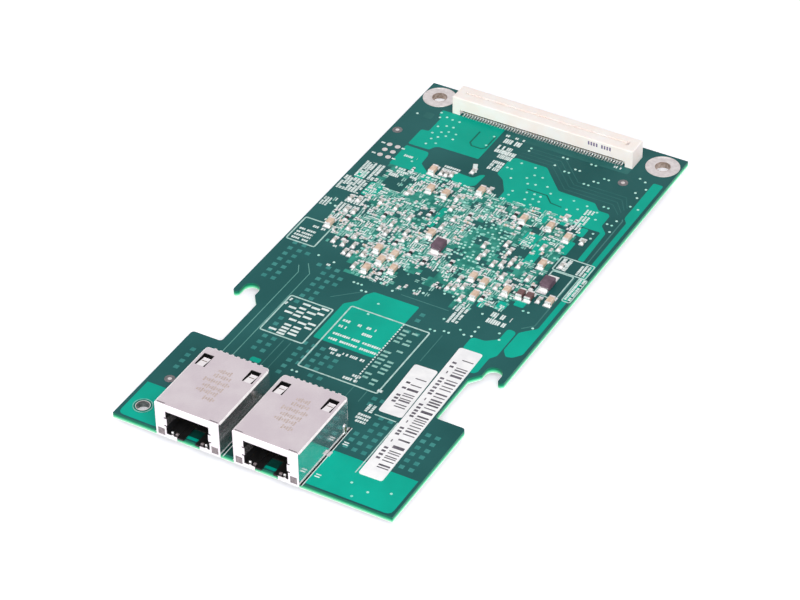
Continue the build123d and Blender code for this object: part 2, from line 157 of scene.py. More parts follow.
def sawn(tree, place, coat):
    """The board's colour: the coat on its faces, and the bare laminate on its sawn edge, with a painted glow
    towards the edge's foot and a painted highlight on edges facing right.
    """
    spot = add(tree, "ShaderNodeSeparateXYZ", links={"Vector": place.outputs["Object"]})
    depth = add(tree, "ShaderNodeMapRange", values={"From Min": board_low.z, "From Max": board_high.z},
                links={"Value": spot.outputs["Z"]})
    edge = add(tree, "ShaderNodeValToRGB", links={"Fac": depth.outputs["Result"]})
    # Painted glow: the edge runs from near-white at its foot to dark green at its top
    stops(edge, (0.0, "#DFF8E6"), (0.7, "#0C6A50"), (0.15, "#93E2B5"), (0.42, "#33B17E"))
    facing = add(tree, "ShaderNodeSeparateXYZ", links={"Vector": place.outputs["Normal"]})
    level = add(tree, "ShaderNodeMath", {"operation": "ABSOLUTE"}, links={0: facing.outputs["Z"]})
    flat = add(tree, "ShaderNodeMath", {"operation": "GREATER_THAN"}, {1: 0.5}, {0: level.outputs[0]})
    # Edges facing right are painted brighter, a painted highlight where the light falls, and the resist's
    # colour runs a little lighter towards the left
    lit_edge_tone = add(tree, "ShaderNodeMapRange", values={"To Min": 1.0, "To Max": 1.45},
                   links={"Value": facing.outputs["X"]})
    lit_edge_colour = add(tree, "ShaderNodeVectorMath", {"operation": "SCALE"},
                     links={0: edge.outputs["Color"], "Scale": lit_edge_tone.outputs["Result"]})
    limits = {"From Min": board_low.x, "From Max": board_high.x, "To Min": 1.08, "To Max": 0.92}
    coat_tone = add(tree, "ShaderNodeMapRange", values=limits, links={"Value": spot.outputs["X"]})
    coat_colour = add(tree, "ShaderNodeVectorMath", {"operation": "SCALE"},
                      links={0: coat, "Scale": coat_tone.outputs["Result"]})
    paint = add(tree, "ShaderNodeMix", {"data_type": "RGBA"},
                links={0: flat.outputs[0], 6: lit_edge_colour.outputs["Vector"], 7: coat_colour.outputs["Vector"]})
    return paint.outputs[2]


# Green solder resist over glass-epoxy laminate: deep teal with a soft gloss. The sawn edge shows the
# laminate, dark green at the top, with a painted glow of pale green towards its foot. Glass threads lie
# 0.6 mm apart and only just show through the resist
resist = mottled("solder_resist_on_laminate", "#1A5554", "#256160", 22,
                 {**skin(0.38), "Specular IOR Level": 0.12}, 0.05, 0.6, depth=0.03, light_at=0.68, tint=sawn)


def coated(what, dark, light, size, *relief):
    """Resist over something, a little smoother than over the laminate."""
    values = {**skin(0.36), "Specular IOR Level": 0.1}
    return mottled(f"solder_resist_{what}", dark, light, size, values, *relief)


# The same resist over copper: the metal below lifts it to a bright sea green
pour_finish = coated("on_copper", "#00A38D", "#00B099", 14, 0.05, 0.7)
# Resist that has run into the gap between two pours: deep green
gap_finish = coated("in_gap", "#0A6456", "#107263", 4)
# Resist with no copper below, darkened past the bare-laminate green as painted shade: the darkest green, laid
# inside and between the jacks
painted_shade_finish = coated("in_painted_shade", "#0B3A34", "#11463F", 4)
# Resist over copper one layer down: a dim copy of the same green
plane_finish = coated("on_inner_copper", "#2A6562", "#336F6C", 9)
# Resist over copper between crowded parts: broken into lighter and darker green
crowded_finish = coated("on_crowded_copper", "#21776B", "#3A9B8A", 2.5)
# Resist over a narrow track: a little paler than the bare laminate
track_finish = coated("on_track", "#3B7370", "#48817D", 9)
# Resist over a thick guard track: paler again
guard_finish = coated("on_guard_track", "#5F9B93", "#78AEA6", 9)
# Resist over small balancing squares: mid green
balance_finish = coated("on_balance_copper", "#36837F", "#45908B", 3)
# Screen-printed epoxy ink: off-white where it is thick, tinted by the green where it is thin
ink_finish = mottled("screen_printed_ink", "#D3E3E0", "#EDF4F2", 0.8, skin(0.55), 0.1, 0.2)
line_finish = mottled("thin_screen_printed_ink", "#A2CBC3", "#C6E0DB", 1.1, skin(0.55), 0.1, 0.2)
haze_finish = mottled("faint_screen_printed_ink", "#74B1A6", "#A2CFC6", 0.9, skin(0.55), 0.1, 0.2)
# Resist over bare pads between crowded parts: pale mint
pad_resist_finish = coated("on_pads", "#58AD9E", "#8CCDC0", 1.3)
# Via mouths filled under the resist: bright mint beads
via_finish = mottled("plugged_via", "#8FE0CF", "#CDF3EA", 1.4, skin(0.3))
# Hot-air tinned copper: bright, slightly wavy
tin_finish = mottled("tinned_copper", "#E2DEDB", "#F3F0ED", 1.2, metal(0.35), 0.12, 0.5, (0.28, 0.42))
# The same tin inside a drilled hole: duller and browner where the flux has dried
barrel_finish = mottled("tinned_hole_wall", "#A08E80", "#C8B9AE", 0.9, metal(0.4), 0.1, 0.3)
# A drilled wall with only a thin flash of tin: dark grey
drilled_finish = mottled("thinly_tinned_wall", "#565C5A", "#878D8A", 0.8, metal(0.4), 0.1, 0.3)
# Bare laminate where the resist is left off: mauve grey
laminate_finish = mottled("bare_laminate", "#666568", "#7F7B7E", 0.7, skin(0.5))
# Tin-plated spring steel: a clean mirror with a faint rolling haze
shell_finish = mottled("tin_plated_steel", "#ECE6E9", "#F3EFF0", 6, metal(0.15, 0.95), 0.02, 0.8, (0.12, 0.18))
# Painted highlight: near-white tin along each top fold, standing for the bright line where the fold catches the
# light
fold_highlight_finish = mottled("painted_fold_highlight", "#E9E5E5", "#F9F6F5", 1.2, metal(0.5, 0.35), 0.05, 0.3)
# Glass-filled black polyester: dull with a fine grain
black_finish = mottled("black_polyester", "#0B0B0C", "#18181A", 1.5, skin(0.5, 1.57), 0.15, 0.25)
# Gold flash on phosphor bronze: warm and bright
gold_finish = mottled("gold_flashed_bronze", "#D9AE57", "#EBC873", 0.8, metal(0.25), rough=(0.2, 0.32))
# Phosphor bronze, dark brown; at the connector's tails it is painted shade, standing for the shadow under the
# housing's front
bronze_and_shade_finish = mottled("bronze_and_painted_shade", "#5A4838", "#7C6752", 0.6, metal(0.4))
# Frosted epoxy light window: grey and cloudy when unlit
window_finish = mottled("frosted_epoxy", "#6C6264", "#8B8082", 0.7, {**skin(0.4), "Coat Weight": 0.3})
# Cast potting: dark and slightly uneven
potting_finish = mottled("epoxy_potting", "#0C0C0D", "#161616", 2, skin(0.45))
# Liquid-crystal polymer, moulded: warm cream, a soft satin skin
translucent = {"Subsurface Weight": 0.08, "Subsurface Radius": (0.6 * MM, 0.5 * MM, 0.35 * MM)}
cream_finish = mottled("cream_polymer", "#FFF2EB", "#FFF9F5", 5, {**skin(0.5), **translucent}, 0.08, 0.3)
# Stamped violet ink on the connector: thin and uneven
stamp_finish = mottled("violet_stamp_ink", "#5E4A78", "#9486A8", 0.5, skin(0.6))
# Coated label stock: clean white with a faint fibre
paper_finish = mottled("coated_label_paper", "#F1F0F2", "#FBFAFB", 2.5, skin(0.6, 1.45), 0.1, 0.2)
# Thermal print on the labels: soft grey
print_finish = mottled("thermal_print", "#3F3B45", "#6E6973", 1.5, skin(0.6, 1.45))
# Pale jet print on metal: a thin brown stain
stain_finish = mottled("pale_ink_on_tin", "#C9B9B0", "#D8CAC3", 0.9, metal(0.35, 0.7))
# Fired capacitor ceramic: tan, brown and grey bodies, satin
tan_finish = mottled("tan_ceramic", "#D2B299", "#E6CFBB", 0.9, skin(0.4, 1.6), 0.1, 0.2)
brown_finish = mottled("brown_ceramic", "#5A3C3E", "#75504F", 0.9, skin(0.4, 1.6), 0.1, 0.2)
grey_finish = mottled("grey_ceramic", "#B3B0AA", "#CFCBC5", 0.9, skin(0.42, 1.6), 0.1, 0.2)
# Glass glaze over a resistor film: black and wet-looking
glaze_finish = mottled("black_glaze", "#0D0D10", "#1C1C20", 0.6, skin(0.22, 1.52))
# Dark moulding compound with a purple cast
plum_finish = mottled("plum_moulding", "#543F4D", "#6B5362", 1.2, skin(0.5, 1.55), 0.15, 0.2)
# Soldered chip ends: bright tin with a flowed skin
end_finish = mottled("soldered_tin", "#F0F2F0", "#FDFDFC", 0.5, metal(0.4), 0.1, 0.3, (0.32, 0.5))
# Black transfer-moulded epoxy: matt, finely eroded
package_finish = mottled("black_epoxy", "#151517", "#222225", 1.5, skin(0.55, 1.55), 0.2, 0.15)
# Drawn nickel-plated can: a soft grey shine
can_finish = mottled("nickel_plated_can", "#B9B5AE", "#CFCBC4", 2, metal(0.24), rough=(0.2, 0.3))

node_finish = {
    "circuit_board": resist, "mounting_lands": tin_finish,
    "mezzanine_housing": cream_finish,
    "mezzanine_front_contacts": end_finish, "mezzanine_rear_contacts": end_finish,
    "long_label": paper_finish, "short_label": paper_finish,
    "network_controller": package_finish, "controller_solder_balls": tin_finish,
    "boot_memory": package_finish, "boot_memory_leads": tin_finish, "clock_crystal": can_finish,
}
for kind, finish in (("shield", shell_finish), ("housing", black_finish), ("contacts", gold_finish),
                     ("magnetics", potting_finish), ("light_guides", window_finish), ("pins", tin_finish)):
    for side in ("left", "right"):
        node_finish[f"{side}_jack_{kind}"] = finish
for name, finish in node_finish.items():
    nodes[name].data.materials.clear()
    nodes[name].data.materials.append(finish)


# Chip parts: copies of the CAD solids with rounded edges

def softened(name, finish, radius):
    """Shows a copy of a CAD node with its sharp edges rounded, in the node's place."""
    mesh = bmesh.new()
    mesh.from_mesh(nodes[name].data)
    bmesh.ops.remove_doubles(mesh, verts=mesh.verts, dist=1e-6)
    bmesh.ops.dissolve_limit(mesh, angle_limit=0.02, verts=mesh.verts, edges=mesh.edges)
    sharp = [edge for edge in mesh.edges if edge.is_manifold and edge.calc_face_angle() > 0.6]
    bmesh.ops.bevel(mesh, geom=sharp, offset=radius, segments=2, profile=0.5, affect="EDGES")
    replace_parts(keep(f"{name}_softened", mesh, finish), name)


chip_kinds = (
    ("large_capacitor", tan_finish, "tan_ceramic", 0.12),
    ("brown_capacitor", brown_finish, "brown_ceramic", 0.12),
    ("small_capacitor", grey_finish, "grey_ceramic", 0.07),
    ("chip_resistor", glaze_finish, "black_glaze", 0.05),
    ("moulded_capacitor", plum_finish, "dark_moulding", 0.15),
)
for kind, finish, slot, radius in chip_kinds:
    softened(f"{kind}_bodies", finish, radius * MM)
    softened(f"{kind}_terminals", end_finish, radius * MM)
softened("network_controller", package_finish, 0.2 * MM)
softened("boot_memory", package_finish, 0.12 * MM)


# Flat artwork: thin prisms on the board's face, a hair apart so that none share a level

HAIR = 0.0004 * MM
RIM_STEPS = 32


def rounded(outline, radius):
    """The outline with each corner drawn as a short curve."""
    result = []
    for index, corner in enumerate(outline):
        here = Vector(corner)
        back = Vector(outline[index - 1]) - here
        ahead = Vector(outline[(index + 1) % len(outline)]) - here
        start = here + back.normalized() * min(radius, back.length * 0.45)
        end = here + ahead.normalized() * min(radius, ahead.length * 0.45)
        for share in (0.0, 0.33, 0.67, 1.0):
            result.append(start.lerp(here, share).lerp(here.lerp(end, share), share))
    return result


def with_hole(outline, centre, radius):
    """The outline joined to a round hole by a slit from its first point."""
    first = outline[0]
    heading = math.atan2(first[1] - centre[1], first[0] - centre[0])
    turns = [heading - 2 * math.pi * step / RIM_STEPS for step in range(RIM_STEPS + 1)]
    rim = [(centre[0] + radius * math.cos(turn), centre[1] + radius * math.sin(turn)) for turn in turns]
    return [*outline, first, *rim]


def prisms(name, outlines, thickness, finish):
    """Lays flat shapes of a thickness in mm on the board, each a hair above the one before."""
    mesh = bmesh.new()
    for count, outline in enumerate(outlines):
        foot, top = ([mesh.verts.new(at(u, v, lift)) for u, v in outline]
                     for lift in (0.0, thickness * MM + count * HAIR))
        mesh.faces.new(foot)
        mesh.faces.new(top)
        for index in range(len(outline)):
            mesh.faces.new((foot[index - 1], foot[index], top[index], top[index - 1]))
    bmesh.ops.recalc_face_normals(mesh, faces=mesh.faces)
    return keep(name, mesh, finish)


def stroke(points, width, closed=False):
    """The quads of a mitred line of the given width, in grid steps."""
    count = len(points)
    sides = []
    for index, (u, v) in enumerate(points):
        before = points[index - 1] if closed or index else None
        after = points[(index + 1) % count] if closed or index < count - 1 else None
        ways = [Vector((b[0] - a[0], b[1] - a[1])).normalized()
                for a, b in ((before, (u, v)), ((u, v), after)) if a and b]
        across = sum((Vector((-way.y, way.x)) for way in ways), Vector((0, 0))).normalized()
        reach = width / 2 / max(0.3, across.dot(Vector((-ways[0].y, ways[0].x))))
        sides.append(((u + across.x * reach, v + across.y * reach),
                      (u - across.x * reach, v - across.y * reach)))
    runs = range(count if closed else count - 1)
    return [[sides[i][0], sides[i][1], sides[(i + 1) % count][1], sides[(i + 1) % count][0]] for i in runs]


def rectangle(u0, v0, u1, v1):
    """The outline of a rectangle."""
    return [(u0, v0), (u1, v0), (u1, v1), (u0, v1)]


def ring(u0, v0, u1, v1, width):
    """The strokes of a rectangle with slightly rounded corners."""
    return stroke(rounded(rectangle(u0, v0, u1, v1), 0.45), width, closed=True)


pours = [
    with_hole([*rounded(rectangle(0.9, 0.5, 67.7, 12.05), 1.5)[:8], (67.7, 12.05), (0.9, 12.05)],
              (4.46, 4.82), 2.3),
    [(24.3, 42.1), (39.6, 42.1), (39.8, 62.2), (28.3, 62.1), (27, 60.3), (26.7, 57.8), (25.5, 56.5),
     (24.3, 55.4)],
    [(6.9, 115.1), (12.6, 115.2), (13, 116.5), (14, 117.3), (24.6, 117.4), (24.6, 131), (7.6, 131),
     (7.6, 129), (8.8, 128), (8.8, 121.8), (6.9, 121.6)],
    [(6.9, 106), (13, 106), (15.7, 105.6), (17, 103.6), (19, 103.5), (19.5, 105), (18, 106), (15.5, 108),
     (13.7, 109.5), (13.5, 113), (13, 114.2), (6.9, 114.3)],
    [(22.2, 108), (24, 106.4), (26.5, 106.2), (29, 107.8), (29.2, 112.6), (28.2, 112.2), (27, 110.2),
     (22.4, 110.4)],
    [(31.2, 114.5), (33.5, 113), (36, 109), (36, 105.6), (62.7, 105.6), (62.7, 94), (64.2, 94),
     (63.9, 105.8), (61.8, 108), (61.8, 112), (61.2, 112.8), (58.6, 112.8), (56.6, 115), (47, 115.2),
     (40.4, 122.1), (32.3, 122.1), (31.2, 120.8)],
    [(65.1, 113), (66.3, 111.5), (66.3, 68), (64.5, 66.2), (63.2, 64.8), (63.1, 58), (64.5, 56.2),
     (66, 56.6), (67.5, 58.5), (67.6, 67), (67.6, 128.4), (65.1, 128.4)],
    [(54.9, 54.7), (60, 47.9), (61, 47.9), (61.7, 48.8), (61.7, 54), (62.8, 55.5), (62.8, 64.2),
     (62.3, 64.8), (61, 64.9), (60.5, 64.3), (60.5, 61), (60, 60.3), (58, 58.8), (55.5, 58.7),
     (54.9, 58.1)],
]
for patch in ((16.2, 28.6, 18.7, 30.1), (50.5, 68.5, 52, 72.5), (54.3, 70.3, 56.6, 72.8),
              (57.5, 72.8, 60, 74.8), (52, 87, 54.5, 97), (48, 93, 51.5, 98), (26.5, 89, 28, 97),
              (7, 92.4, 10.6, 97.8), (2.2, 97.4, 4.6, 100.4), (47.6, 102.6, 49.9, 105.2),
              (52.9, 103.9, 55, 105.4), (58.2, 102, 59.9, 105.3), (57.6, 94.2, 59.6, 99.4)):
    pours.append(rectangle(*patch))
pours[1:] = [rounded(outline, 0.5) for outline in pours[1:]]
prisms("copper_pours", pours, 0.02, pour_finish)
# Painted shade: dark resist patches on the board inside each jack and in the gap between the jacks
shade_patches = [rounded(rectangle(u - 4.6, 1.3, u + 4.6, 11.4), 0.4) for u in (19.73, 38.93)]
shade_patches.append(rounded(rectangle(27.5, 0.25, 31.1, 20.6), 0.3))
prisms("painted_shade_patches", shade_patches, 0.035, painted_shade_finish)
planes = [rounded(rectangle(25.6, 128.6, 58.2, 131.2), 0.6), rounded(rectangle(4.5, 126.2, 6.8, 128.6), 0.5)]
prisms("inner_planes", planes, 0.008, plane_finish)

guards = stroke([(9.6, 28), (9.6, 60.3), (8.4, 62.5)], 0.2)
guards += stroke([(12.2, 28), (12.2, 60.9), (10, 64)], 0.2)
prisms("guard_tracks", guards, 0.014, guard_finish)
tracks = []
for points in ([(19.3, 28), (19.3, 38)], [(21.2, 28), (21.2, 38)], [(40.7, 28), (40.7, 32)],
               [(44, 28), (44, 32)], [(20.5, 56), (26, 61)], [(34, 64.2), (46, 64.2)], [(49, 46), (49, 56)]):
    tracks += stroke(points, 0.22)
buried = []
for lane in range(4):
    shift = 1.3 * lane
    buried += stroke([(32.5, 123.3 + shift), (41.2 + 0.4 * shift, 123.3 + shift),
                      (47.9 + 0.4 * shift, 116.5 + shift), (60.4 + 0.4 * shift, 116.5 + shift),
                      (63.2 + 0.2 * shift, 113.6 + 0.8 * shift)], 0.22)
prisms("buried_tracks", buried, 0.01, plane_finish)
tracks += stroke([(64.9, 112.4), (65.2, 111.8), (65.2, 68.6), (63, 66.4)], 0.3)
prisms("copper_tracks", tracks, 0.012, track_finish)

isolation = stroke([(19.7, 127.4), (19.7, 122.4), (20.6, 121.4), (23.2, 121.4), (24, 122.2), (24, 127.4)], 0.42)
isolation += stroke([(40.2, 112.4), (45.4, 112.4), (47.5, 110.2), (50.5, 109.9)], 0.35)
prisms("isolation_gaps", isolation, 0.032, gap_finish)


# Repeated marks: Geometry Nodes trees that set one shape at every place

def shape_tree(name, round_shape):
    """A tree that sets a flat-topped shape, with its upper rim drawn in, at each place."""
    tree = bpy.data.node_groups.new(name, "GeometryNodeTree")
    sockets = {"Places": "Geometry", "Height": "Float", "Rim": "Float", "Finish": "Material"}
    for label, kind in sockets.items():
        tree.interface.new_socket(label, in_out="INPUT", socket_type=f"NodeSocket{kind}")
    tree.interface.new_socket("Shapes", in_out="OUTPUT", socket_type="NodeSocketGeometry")
    given = add(tree, "NodeGroupInput")
    if round_shape:
        blank = add(tree, "GeometryNodeMeshCylinder", values={"Vertices": 10, "Radius": 0.5, "Depth": 1.0})
    else:
        blank = add(tree, "GeometryNodeMeshCube")
    normal = add(tree, "GeometryNodeInputNormal")
    upward = add(tree, "ShaderNodeSeparateXYZ", links={0: normal.outputs["Normal"]})
    top = add(tree, "FunctionNodeCompare", {"data_type": "FLOAT", "operation": "GREATER_THAN"},
              {1: 0.5}, {0: upward.outputs["Z"]})
    drawn = add(tree, "GeometryNodeExtrudeMesh", {"mode": "FACES"},
                {"Offset Scale": 0.15, "Individual": False},
                {"Mesh": blank.outputs["Mesh"], "Selection": top.outputs["Result"]})
    rim = add(tree, "GeometryNodeScaleElements", {"domain": "FACE"}, links={
        "Geometry": drawn.outputs["Mesh"], "Selection": drawn.outputs["Top"], "Scale": given.outputs["Rim"]})
    seated = add(tree, "GeometryNodeTransform", values={"Translation": (0, 0, 0.5)},
                 links={"Geometry": rim.outputs["Geometry"]})
    extent = add(tree, "GeometryNodeInputNamedAttribute", {"data_type": "FLOAT_VECTOR"},
                 {"Name": "extent"})
    turn = add(tree, "GeometryNodeInputNamedAttribute", {"data_type": "FLOAT"}, {"Name": "turn"})
    spread = add(tree, "ShaderNodeSeparateXYZ", links={0: extent.outputs["Attribute"]})
    size = add(tree, "ShaderNodeCombineXYZ", links={
        "X": spread.outputs["X"], "Y": spread.outputs["Y"], "Z": given.outputs["Height"]})
    heading = add(tree, "ShaderNodeCombineXYZ", links={"Z": turn.outputs["Attribute"]})
    placed = add(tree, "GeometryNodeInstanceOnPoints", links={
        "Points": given.outputs["Places"], "Instance": seated.outputs["Geometry"],
        "Rotation": heading.outputs["Vector"], "Scale": size.outputs["Vector"]})
    real = add(tree, "GeometryNodeRealizeInstances", links={"Geometry": placed.outputs["Instances"]})
    coated = add(tree, "GeometryNodeSetMaterial", links={
        "Geometry": real.outputs["Geometry"], "Material": given.outputs["Finish"]})
    add(tree, "NodeGroupOutput", links={"Shapes": coated.outputs["Geometry"]})
    return tree


MARK_HAIR, MARK_LEVELS = 0.0007 * MM, 9
tile_tree = shape_tree("raised_tiles", False)
bead_tree = shape_tree("raised_beads", True)


def repeat(name, marks, height, rim, finish, slot=None, tree=tile_tree):
    """One plain mesh of a tree's shapes, a height in mm, at marks of (place, length, width, turn)."""
    seeds = bpy.data.meshes.new(name)
    seeds.from_pydata([mark[0] for mark in marks], [], [])
    extents = seeds.attributes.new("extent", "FLOAT_VECTOR", "POINT")
    extents.data.foreach_set("vector", [part for mark in marks for part in (mark[1], mark[2], 1.0)])
    turns = seeds.attributes.new("turn", "FLOAT", "POINT")
    turns.data.foreach_set("value", [mark[3] for mark in marks])
    carrier = bpy.data.objects.new(f"{name}_places", seeds)
    scene.collection.objects.link(carrier)
    modifier = carrier.modifiers.new("shapes", "NODES")
    modifier.node_group = tree
    given = {"Height": height * MM, "Rim": rim, "Finish": finish}
    for item in tree.interface.items_tree:
        if item.name in given:
            modifier[item.identifier] = given[item.name]
    graph = bpy.context.evaluated_depsgraph_get()
    result = bpy.data.meshes.new_from_object(carrier.evaluated_get(graph))
    carrier.modifiers.remove(modifier)
    bpy.data.objects.remove(carrier)
    result.name = name
    return keep(name, result, finish)


def tiles(marks, lift=0.0):
    """Marks given in grid steps, as places and sizes in metres, spread over levels a hair apart."""
    return [(at(u, v, lift + index % MARK_LEVELS * MARK_HAIR), length * GRID, width * GRID, turn)
            for index, (u, v, length, width, turn) in enumerate(marks)]


# Balancing squares, given as columns and rows

def steps(first, last, pitch):
    count = round((last - first) / pitch) + 1
    return [first + index * pitch for index in range(count)]


squares = []
for columns, rows in (
    ((3.4, 5.8), steps(55.7, 69.2, 2.25)), ((8.0,), (67.0,)), ((14.8, 17.1), steps(53.4, 64.8, 2.28)),
    ((12.4,), (64.8,)), ((19.2,), (60.2, 62.5)), ((14.8,), (51, 44.3, 42.1, 40)),
    ((14.9, 17.2), (37.4, 35.1, 32.8)), ((23.9,), steps(28.4, 39.5, 2.22)),
    ((26.2, 28.4), steps(32.9, 39.5, 2.2)), ((30.6,), (30.6, 33, 35.1, 37.4)),
    ((32.9,), (30.6, 35.1, 37.3)), ((41.7,), (53.6, 57.9, 60.1)), ((44,), (53.6,)),
    ((46.6,), (28.5, 30.5)), ((48.6,), (30.5,)), ((51.1, 53.4), steps(14.3, 25.6, 2.26)),
    ((48.9,), (14.5, 16.8, 18.9)), ((62.4, 64.7), steps(14.4, 25.7, 2.26)),
    ((3.6,), (19.2, 21.5, 23.7, 25.9)),
):
    squares += [(u, v, 1.15, 1.1, 0.0) for u in columns for v in rows]
repeat("balancing_squares", tiles(squares), 0.015, 0.85, balance_finish, "green_board")

# Vias: single places and pairs
via_places = [
    (7.8, 129.9), (8.4, 128), (9.9, 128.8), (11.6, 128.5), (13.5, 128.5), (11.6, 125.6), (13.3, 125.8),
    (9.8, 124.5), (13.2, 123.7), (15.2, 123.6), (11.7, 122.8), (9.9, 121.6), (13.4, 121.9), (15.5, 121.5),
    (11.9, 120.7), (10.8, 119.4), (12.7, 118.2), (10.7, 117), (23.6, 127.2), (23.6, 123.2), (2.8, 126.9),
    (11.3, 109.2), (41.6, 123.8), (33.6, 127.2), (33.6, 126), (61.5, 128.5), (63.2, 127.8), (64.6, 125.3),
    (63, 123), (64.2, 121.4), (64.3, 117.7), (66.4, 117.4), (64, 111.2), (64.4, 106.8), (61.4, 104.4),
    (61.7, 102.5), (34.4, 120.8), (38.1, 120.7), (39.3, 118), (41.4, 118), (38.2, 116.2), (34.9, 114.4),
    (39.4, 114.3), (41.2, 114.8), (44, 115.4), (45.9, 113.4), (49, 112.4), (51.9, 113.5), (55.5, 113.1),
    (58.6, 112), (40.8, 111.2), (42.7, 111.4), (44.4, 111.2), (43.2, 109.6), (44.9, 109.3), (54.1, 111),
    (51.9, 109.7), (59.5, 109.4), (43.7, 107.4), (37.5, 108.4), (37.6, 110.2), (41.6, 108.6),
    (22.5, 63), (23.5, 63), (24.5, 63), (31.6, 64.4), (25.5, 61.2), (26.6, 61.3), (31.2, 58.9), (31, 54.7),
    (53, 58.5), (54.7, 58.8), (54.6, 60.6), (54.6, 62.3), (59.6, 62.6), (60.6, 60.6), (51.5, 59.6),
    (46.5, 61.2), (10.5, 67.7), (14.9, 67.1), (2.8, 85.9), (42.3, 69.1), (44.5, 69.1), (53.1, 66.8),
    (65.2, 67.6), (60.5, 72), (61.8, 72), (55.8, 5.2), (57.9, 1.6), (60.2, 4.2), (64.7, 6.1),
]
for u, v in ((41.9, 127.5), (49, 128.2), (46.6, 124.6), (54.2, 124.5), (44.7, 122.7), (52.5, 122.4),
             (50.9, 120.5), (59, 114.7), (62.6, 109.2), (32.2, 117.7), (26.2, 30.2), (45.6, 56.6),
             (48.6, 57.5)):
    via_places += [(u, v), (u + 1.15, v)]
vias = [(u, v, 0.62, 0.62, 0.0) for u, v in via_places]

# Screen print: frames, marks in place of lettering, and blocks
frames = ring(0.6, 69.8, 8.0, 78.7, 0.34) + ring(12.6, 38.9, 23.5, 52.3, 0.34)
frames += ring(26.4, 32.2, 46.2, 55.4, 0.34)
frames += ring(59.2, 88.4, 67.4, 93.6, 0.3) + ring(59.6, 78.8, 64.9, 88, 0.3)
frames += ring(66.2, 79.3, 68.2, 88.2, 0.25)
frames += stroke([(49.2, 26.1), (54.4, 26.1)], 0.25) + stroke([(54.9, 26), (54.9, 8.2)], 0.25)
prisms("printed_frames", frames, 0.04, line_finish)

ticks = []
pale_ticks = []


def ticks_along(start, end, tall, letter=0.42, gap=0.13):
    """A run of small upright marks from start to end."""
    (u0, v0), (u1, v1) = start, end
    length = math.hypot(u1 - u0, v1 - v0)
    turn = math.atan2(v1 - v0, u1 - u0)
    reach = 0.0
    while reach < length:
        wide = min(letter * chance.uniform(0.7, 1.25), length - reach)
        if chance.random() > 0.1:
            middle = reach + wide / 2
            ticks.append((u0 + math.cos(turn) * middle, v0 + math.sin(turn) * middle, wide,
                          tall * chance.uniform(0.8, 1.0), turn))
        reach += wide + gap * chance.uniform(0.6, 1.3)


def tick_block(u0, v0, u1, v1, rows, upright, fill=0.72):
    """Rows of marks that fill a rectangle, across the board or, if upright, along it."""
    for row in range(rows):
        share = (row + 0.5) / rows
        if upright:
            u = u0 + (u1 - u0) * share
            ticks_along((u, v0), (u, v1), (u1 - u0) / rows * fill)
        else:
            v = v0 + (v1 - v0) * share
            ticks_along((u0, v), (u1, v), (v1 - v0) / rows * fill)


for v in (74.5, 73.2, 72.1, 70.9):
    ticks_along((1.4, v), (5.6, v), 0.7)
ticks_along((3.8, 76.5), (7, 76.5), 0.8)
for u0, u1, rows in (
    (16.5, 18.5, (51, 49.4, 48, 46.7, 45, 43, 41.8, 40.7, 39.7)),
    (18.8, 21, (50.8, 48.9, 47.1, 44.9, 43, 41.8, 40.6)),
    (14.2, 16.2, (48.7, 46.9, 40.3)),
    (21, 23, (51.5, 49.6, 45.6, 44)),
):
    for v in rows:
        short = chance.uniform(0.0, 0.35)
        ticks.append(((u0 + u1 - short) / 2, v, u1 - u0 - short, 0.62, 0.0))
ticks_along((13.4, 51.5), (13.0, 49), 0.5)
for v in steps(34.4, 53.4, 1.36):
    for u0, u1 in ((40.3, 42.2), (42.6, 44.6)):
        if chance.random() < 0.74:
            pale_ticks.append(((u0 + u1) / 2, v, chance.uniform(1.2, 1.9), 0.6, 0.0))
for v in steps(33.5, 55, 0.9):
    ticks.append((39.8, v, 0.35, 0.5, 0.0))
for v in (45.4, 43.5):
    ticks_along((27.5, v), (39.4, v), 0.75)
for u0, u1, v in ((27.2, 29, 50.3), (31, 31.8, 50.3), (33.2, 35.5, 50.4), (27.3, 29.2, 48.2),
                  (33.3, 35.8, 48.1), (38.5, 40.5, 35), (37, 40.5, 33.5), (29.5, 31.5, 40.5),
                  (30.5, 33, 39.3), (33, 38.4, 40.2), (54, 56, 130), (8, 9.5, 105.3), (10, 13.5, 105.3),
                  (10, 13, 104.3), (14, 15.5, 103.6), (9, 11.5, 102.3), (16, 18, 102), (8.5, 12, 110.5),
                  (25.9, 26.9, 129), (28.4, 29.2, 129), (30.4, 31.0, 129), (45.8, 47, 33.2)):
    ticks_along((u0, v), (u1, v), 0.85)
ALONG, ACROSS = True, False
for area in (
    (54.9, 64.3, 59.8, 69, 2, ACROSS), (47.2, 60.5, 50, 67, 3, ALONG), (56, 103.8, 58.3, 112, 3, ALONG),
    (1.9, 98, 4.8, 104.5, 4, ALONG, 0.85), (5.2, 98, 7, 104.5, 2, ALONG, 0.85),
    (0.4, 92, 6.6, 97.4, 8, ALONG, 0.85), (19.0, 109.6, 23.2, 111.8, 2, ACROSS),
    (0.3, 84.6, 2.4, 87.8, 3, ALONG), (5.0, 88.2, 9.6, 91.4, 6, ALONG), (4.6, 85.0, 9.8, 87.6, 6, ALONG),
    (46, 22, 49, 25.2, 3, ACROSS), (46.4, 26, 48.6, 28.5, 2, ALONG), (64.5, 89, 67, 93.2, 3, ALONG),
    (66.3, 80, 68.1, 88, 2, ALONG), (26.5, 126, 31, 128, 1, ACROSS, 0.95),
    (26.3, 121.8, 30, 125, 2, ACROSS, 0.95), (28, 120, 31.7, 123.5, 2, ACROSS, 0.95),
    (28, 115, 31, 119, 3, ACROSS, 0.9), (59.6, 89, 62.4, 93.2, 2, ALONG),
):
    tick_block(*area)
ticks += [(53.2, 107.6, 1.2, 1.4, 0.0), (60.5, 101.2, 1.6, 1.3, 0.0),
          (25.7, 113.8, 1.1, 3.4, 0.4)]
for v in (112.6, 108):
    ticks += [(1.6, v, 1.0, 0.45, 0.0), (7.0, v, 0.9, 0.45, 0.0)]
